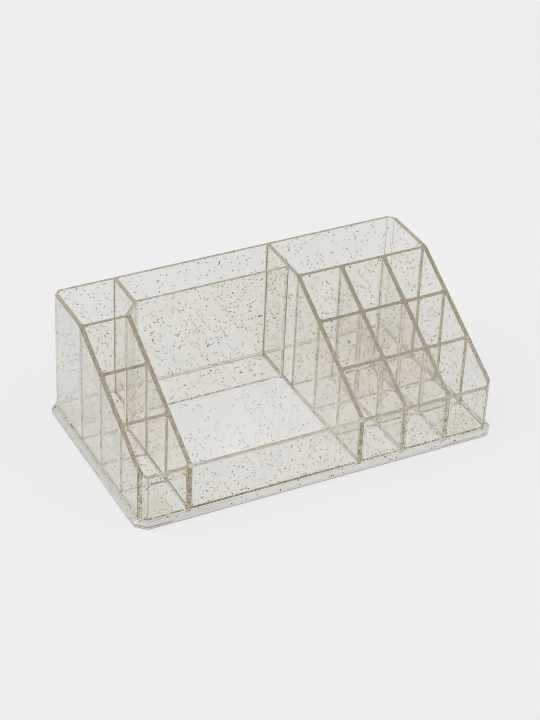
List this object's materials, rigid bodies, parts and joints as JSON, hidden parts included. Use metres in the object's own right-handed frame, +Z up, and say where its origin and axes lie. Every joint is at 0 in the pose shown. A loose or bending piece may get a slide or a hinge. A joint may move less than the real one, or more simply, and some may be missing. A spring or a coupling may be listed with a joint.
{
  "type": "makeup organizer",
  "caption": "Clear glitter-filled plastic makeup organizer: open stepped pockets either side of a low tray, with a tall back, a bevelled base and soft pads.",
  "frame": {"origin": "on the surface that the pads stand on, under the middle of the outline", "axes": "+X along the length to the right, seen from the front; +Y to the tall back; +Z up"},
  "size_m": [0.22, 0.1254, 0.0786],
  "materials": {
    "clear_plastic": "clear, faintly warm grey, with gold glitter in the sheet",
    "soft_pad": "translucent pale, soft"
  },
  "bodies": {
    "root": {"base_tray": "clear_plastic", "back_wall": "clear_plastic", "front_wall": "clear_plastic", "left_side_wall": "clear_plastic", "right_side_wall": "clear_plastic", "left_divider": "clear_plastic", "right_divider": "clear_plastic", "tray_back_wall": "clear_plastic", "left_cross_wall_1": "clear_plastic", "left_cross_wall_2": "clear_plastic", "left_cross_wall_3": "clear_plastic", "right_cross_wall_1": "clear_plastic", "right_cross_wall_2": "clear_plastic", "right_cross_wall_3": "clear_plastic", "lipstick_divider_1": "clear_plastic", "lipstick_divider_2": "clear_plastic", "foot_front_left": "soft_pad", "foot_front_right": "soft_pad", "foot_back_left": "soft_pad", "foot_back_right": "soft_pad"}
  },
  "joints": []
}
